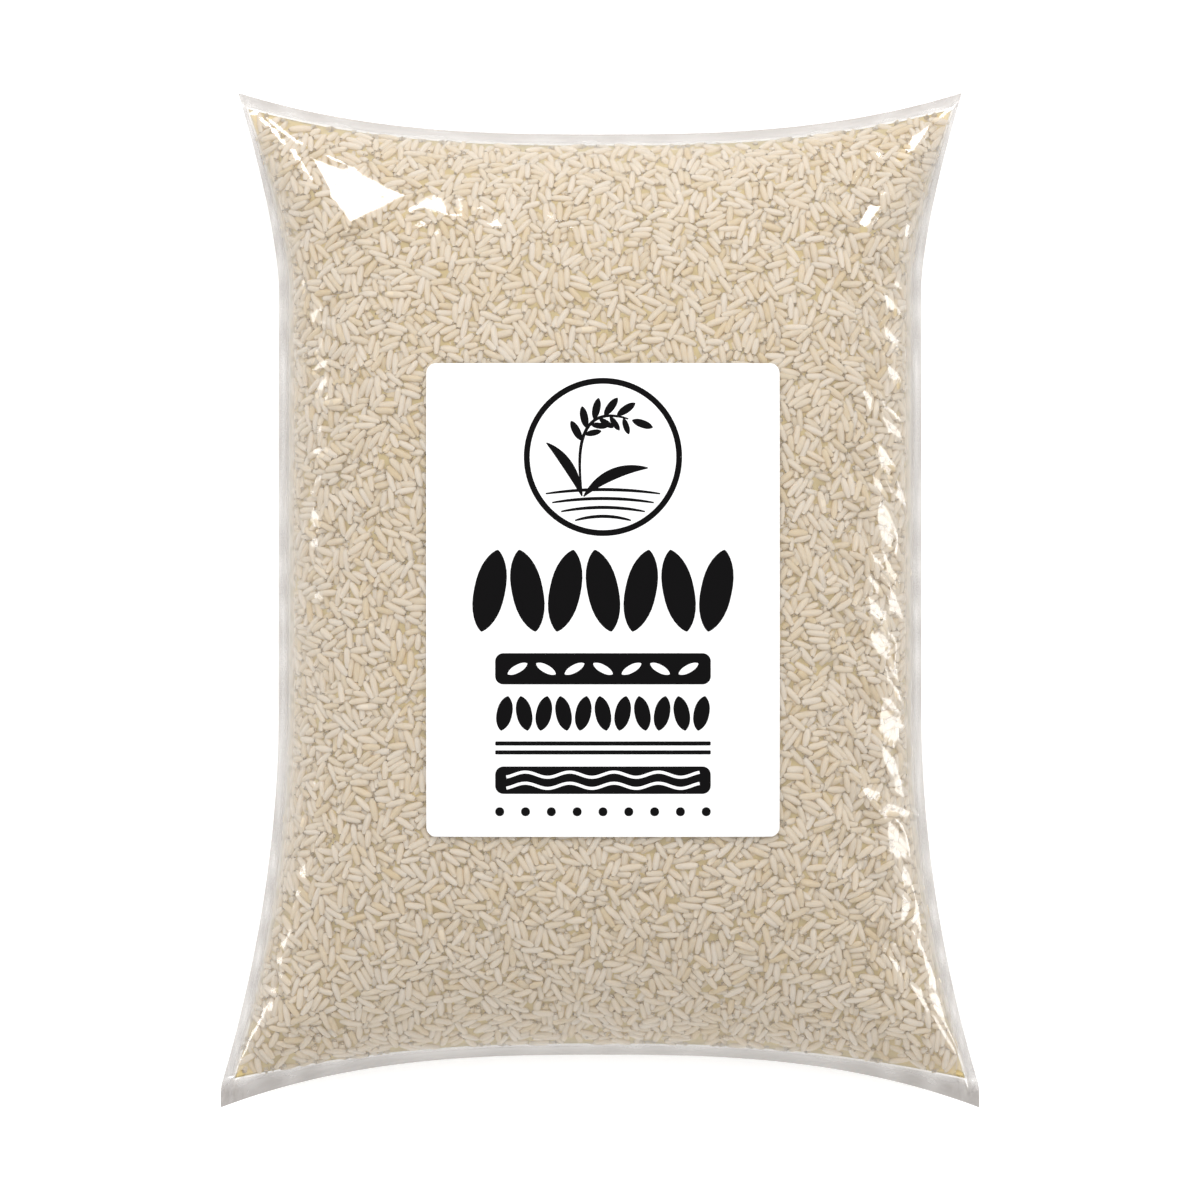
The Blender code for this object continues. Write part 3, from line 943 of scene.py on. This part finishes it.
def make_rice(table):
    """All loose grains: fine ones against the front film, and plainer ones at the back."""
    random = np.random.default_rng(SEED)
    position, axis, length, width = settled_grains(random, table)
    front, _, up = nearer_film(depths(table, position))
    tones = np.clip(random.normal(TONE_MEAN, TONE_SPREAD, len(position)), 0, 1)
    material = milled_rice("milled_rice", ("#EBD9B2", "#F6EBD6", "#FBF4E7"), "#FFEFD0", 0.03 * MM)
    fine, plain = grain_shape(6, 6), grain_shape(6, 3)
    quarter = np.digitize(position[:, 1], np.quantile(position[front, 1], (0.25, 0.5, 0.75)))
    left = position[:, 0] < 0
    groups = [
        (f"rice_front_{place}", fine, front & (quarter == number))
        for number, place in enumerate(("bottom", "lower", "upper", "top"))
    ]
    groups += [("rice_back_left", plain, ~front & left), ("rice_back_right", plain, ~front & ~left)]
    pieces = []
    for name, shape, here in groups:
        grains = (position[here], axis[here], length[here], width[here])
        pieces.append(grain_object(name, shape, grains, tones[here], up[here], material))
    return pieces


def make_bed(table):
    """The rice inside the shell: the pillow's form, BED_DEPTHS further in, with grain-sized relief."""
    across, along = np.meshgrid(stations(120, 0.8), stations(170, 0.5), indexing="ij")
    x, y = placed(across, along, inset=BED_RIM_GAP)
    flat = np.column_stack((x.ravel(), y.ravel(), np.zeros(x.size)))
    (_, front_normal), (_, back_normal) = depths(table, flat)
    rough = 0.2 * MM * np.sin(x / 0.8e-3 + 2 * np.sin(y / 1.3e-3)) * np.sin(y / 0.9e-3 + x / 1.9e-3)
    top = front_height(x, y) - BED_DEPTHS[0] / front_normal[:, 2].reshape(x.shape) + rough
    under = back_height(x, y) - BED_DEPTHS[1] / back_normal[:, 2].reshape(x.shape) - rough
    centre = (top + under) / 2
    spare = 0.3 * MM * np.clip(8 * fullness(across, along), 0, 1)
    top = np.maximum(top, centre + spare)
    under = np.minimum(under, centre - spare)
    front = np.stack((x, y, top), axis=-1)
    back = np.stack((x, y, under), axis=-1)
    # Painted shade: the bed's tones and the light through it are darker and more golden than the
    # grains', for the shade and warm bounced light deep in the gaps between grains.
    material = milled_rice("rice_bed_painted_shade", ("#D8BF79", "#E8D49A", "#F1E2B4"), "#F9E8B1", 0.2 * MM)
    bed = mesh_object("rice_bed_painted_shade", *pillow_block(front, back), material)
    # Less painted shade towards the sides: the bed is paler there, where it is seen without grains over
    # it.
    tone = 0.45 + 0.5 * np.exp(-5 * fullness(across, 0.0))
    set_share(bed, "tone", np.concatenate((tone.ravel(), tone[1:-1, 1:-1].ravel())))
    return bed


def rounded_bar(centre, size, corner, columns, rows):
    """A grid over a bar with round corners: rows by height, and columns from edge to edge."""
    straight = size[1] / 2 - corner
    turns = np.sin(np.linspace(0, math.pi / 2, 9)[1:]) * corner + straight
    down = np.concatenate((-turns[::-1], np.linspace(-straight, straight, rows), turns))
    past = np.clip(np.abs(down) - straight, 0, corner)
    half = size[0] / 2 - corner + np.sqrt(corner**2 - past**2)
    x = np.linspace(-1, 1, columns)[:, None] * half[None, :] + centre[0]
    return x, np.broadcast_to(down[None, :] + centre[1], x.shape)


def ribbon(route_x, route_y, width):
    """A grid over a band along a route: three columns, half the width to each side of it."""
    tangent = np.stack((np.gradient(route_x), np.gradient(route_y)))
    tangent /= np.linalg.norm(tangent, axis=0)
    offset = np.array((-0.5, 0.0, 0.5))[None, :] * np.broadcast_to(width, route_x.shape)[:, None]
    x = route_x[:, None] - tangent[1][:, None] * offset
    y = route_y[:, None] + tangent[0][:, None] * offset
    return x, y


def printed_grain(centre, length, width, turn):
    """A printed grain: a ribbon whose width is w (1 - |t|^2.4)^0.75 at t from -1 to 1 along it."""
    t = np.sin(np.linspace(-1, 1, 17) * math.pi / 2) * 0.997
    x = centre[0] + t * length / 2 * math.cos(turn)
    y = centre[1] + t * length / 2 * math.sin(turn)
    return ribbon(x, y, width * (1 - np.abs(t) ** 2.4) ** 0.75)


def bent_stem(start, bend, end, width, taper):
    """A ribbon along a quadratic curve, as wide as w sin(pi t)^taper."""
    t = np.linspace(0.02, 0.98, 25)
    route = [a * (1 - t) ** 2 + 2 * b * t * (1 - t) + c * t**2 for a, b, c in zip(start, bend, end)]
    return ribbon(*route, width * np.sin(math.pi * t) ** taper)


def printed_ear():
    """An ear of rice in a ring: a nodding stem with grains on both sides, two leaves and furrows."""
    turn = np.linspace(0, 2 * math.pi, 97)
    ring = ribbon(RING_RADIUS * np.cos(turn), RING_RADIUS * np.sin(turn), 1.6)
    start, bend, end = np.array((-5.5, -11.0)), np.array((-9.5, 16.0)), np.array((7.5, 10.0))
    patches = [ring, bent_stem(start, bend, end, 0.9, 0.3)]
    patches.append(bent_stem(start, (-8.5, -1.0), (-15.5, 4.0), 2.8, 0.8))
    patches.append(bent_stem(start, (1.5, -2.5), (12.5, -3.0), 3.0, 0.8))
    for k in range(EAR_GRAINS):
        t = 0.36 + 0.64 * k / (EAR_GRAINS - 1)
        place = start * (1 - t) ** 2 + 2 * bend * t * (1 - t) + end * t**2
        heading = (bend - start) * (1 - t) + (end - bend) * t
        lean, length = ((0.72, 6.0), (-1.0, 4.6))[k % 2]
        turn = math.atan2(heading[1], heading[0]) + lean * (k < EAR_GRAINS - 1)
        place = place + 0.55 * length * np.array((math.cos(turn), math.sin(turn)))
        patches.append(printed_grain(place, length, 0.36 * length, turn))
    for k in range(FURROWS):
        y = -10.0 - 2.4 * k
        half = math.sqrt((RING_RADIUS - 1.6) ** 2 - y**2)
        patches.append(bent_stem((-half, y), (0.0, y + 2.4), (half, y), 0.9, 0.3))
    return [(x + RING_CENTRE[0], y + RING_CENTRE[1]) for x, y in patches]


def grain_row(count, width, height, size, lean):
    """A row of printed grains: each as (length, width), leaning by turns to the left and right."""
    places = (np.arange(count) / (count - 1) - 0.5) * width
    turns = math.pi / 2 - lean * (-1.0) ** np.arange(count)
    return [printed_grain((place, height), *size, turn) for place, turn in zip(places, turns)]


def black_shapes():
    """All that is printed black, in millimetres from the label's middle: a plain pattern, no letters."""
    patches = printed_ear()
    patches.extend(grain_row(BOLD_GRAINS, BOLD_WIDTH - 11.0, 2.5, (22.5, 8.4), 0.2))
    patches.append(rounded_bar((0.0, -18.5), (PRINT_WIDTH, 8.4), 2.2, 33, 7))
    patches.extend(grain_row(SMALL_GRAINS, PRINT_WIDTH - 5.0, -30.5, (9.5, 4.2), 0.2))
    for y in (-38.6, -41.0):
        patches.append(rounded_bar((0.0, y), (PRINT_WIDTH, 1.1), 0.3, 33, 3))
    patches.append(rounded_bar((0.0, -48.5), (PRINT_WIDTH, 7.4), 2.2, 33, 7))
    for k in range(DOTS):
        x = (k / (DOTS - 1) - 0.5) * (PRINT_WIDTH - 2.4)
        patches.append(rounded_bar((x, -57.0), (2.4, 2.4), 1.15, 5, 3))
    return patches


def bare_shapes():
    """What stays white on the two black bars: a row of lying grains, and two waves."""
    patches = grain_row(BARE_GRAINS, PRINT_WIDTH - 12.0, -18.5, (6.0, 2.1), math.pi / 2 - 0.5)
    x = np.linspace(-0.5, 0.5, 121) * (PRINT_WIDTH - 6.0)
    for y in (-47.0, -50.0):
        patches.append(ribbon(x, y + 0.7 * np.sin(x / 1.9), 0.8))
    return patches


def thin_block(x, y, foot, thickness):
    """(points, faces) of a shut sheet over a grid, whose two faces meet along its edges."""
    top = foot + thickness
    for edge in (np.s_[0], np.s_[-1], np.s_[:, 0], np.s_[:, -1]):
        top[edge] = foot[edge] + thickness / 2
    return pillow_block(np.stack((x, y, top), axis=-1), np.stack((x, y, foot), axis=-1))


def laid_on_label(name, patches, height, material):
    """Grids of (x, y) in millimetres as one mesh of thin shut skins, that high above the label."""
    points, faces, count = [], [], 0
    for x, y in patches:
        x, y = x * MM + LABEL_CENTRE[0], y * MM + LABEL_CENTRE[1]
        foot = front_height(x, y) + LABEL_GAP + LABEL_THICKNESS
        block, quads = thin_block(x, y, foot, height)
        points.append(block)
        faces.extend(quad + count for quad in quads)
        count += len(block)
    return sharp_edged(mesh_object(name, np.concatenate(points), faces, material))


def sharp_edged(piece):
    """Splits the shading along the cut edges of a thin piece."""
    piece.data.set_sharp_from_angle(angle=math.radians(40))
    return piece


def make_label():
    """The label: a sheet of paper stuck on the film, black shapes on it, and bare ones on those."""
    paper, ink = coated_paper(), printing_ink()
    x, y = rounded_bar(LABEL_CENTRE, (LABEL_WIDTH, LABEL_HEIGHT), LABEL_CORNER, 61, 79)
    sheet = thin_block(x, y, front_height(x, y) + LABEL_GAP, LABEL_THICKNESS)
    return [
        sharp_edged(mesh_object("label_sheet", *sheet, paper)),
        laid_on_label("label_print", black_shapes(), INK_HEIGHT, ink),
        laid_on_label("label_bare_shapes", bare_shapes(), 2 * INK_HEIGHT, paper),
    ]


def make_floor():
    """A plain pale floor, just under the bag."""
    size = 3.0
    height = -0.6 * MM
    across = np.array((-size, size))
    x, y = np.meshgrid(across, across, indexing="ij")
    points = np.stack((x, y, np.full(x.shape, height)), axis=-1).reshape(-1, 3)
    floor = mesh_object("floor", points, [grid_quads(np.arange(4).reshape(2, 2))], studio_floor())
    floor.visible_glossy = False
    floor.visible_shadow = False


def add_area_light(name, lamp, size, radiance, for_glints):
    """A soft box that faces the bag, and radiance is its brightness.

    One that is for glints shows only in what is glossy, and one that isn't only lights what is not.
    """
    box = bpy.data.lights.new(name, "AREA")
    box.shape = "RECTANGLE"
    box.size, box.size_y = size
    box.energy = radiance * math.pi * size[0] * size[1]
    made = bpy.data.objects.new(name, box)
    made.location = lamp_place(lamp)
    made.rotation_mode = "QUATERNION"
    made.rotation_quaternion = lamp_place(lamp).to_track_quat("Z", "Y")
    made.visible_diffuse = not for_glints
    made.visible_glossy = for_glints
    bpy.context.scene.collection.objects.link(made)


def light_studio():
    """Soft light from the bag's top end, a strip at each side for the film's glints, and a pale room."""
    for lamp in LAMPS:
        add_area_light(*lamp)
    world = bpy.data.worlds.new("room")
    bpy.context.scene.world = world
    world.use_nodes = True
    air = world.node_tree.nodes["Background"]
    air.inputs["Color"].default_value = srgb("#FFFFFF")
    air.inputs["Strength"].default_value = ROOM_BRIGHTNESS


def place_camera():
    """The camera over the bag's middle, with the bag's top end up in the picture."""
    lens = bpy.data.cameras.new("camera")
    lens.sensor_width = SENSOR_WIDTH
    lens.lens = SENSOR_WIDTH * (CAMERA_HEIGHT - RIM_HEIGHT_AT_SIDE) / FRAME_WIDTH
    lens.clip_end = 20.0
    camera = bpy.data.objects.new("camera", lens)
    camera.location = (0.0, 0.0, CAMERA_HEIGHT)
    bpy.context.scene.collection.objects.link(camera)
    bpy.context.scene.camera = camera
    bpy.context.scene.view_settings.view_transform = "Standard"


def main():
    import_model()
    place_camera()
    light_studio()
    make_floor()
    table = surface_table()
    bag_pieces = [*make_film(), make_bed(table), *make_rice(table)]
    for piece in bag_pieces:
        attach(piece, "root")
        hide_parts("bag")
    for piece in make_label():
        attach(piece, "root")
        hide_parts("label")


main()
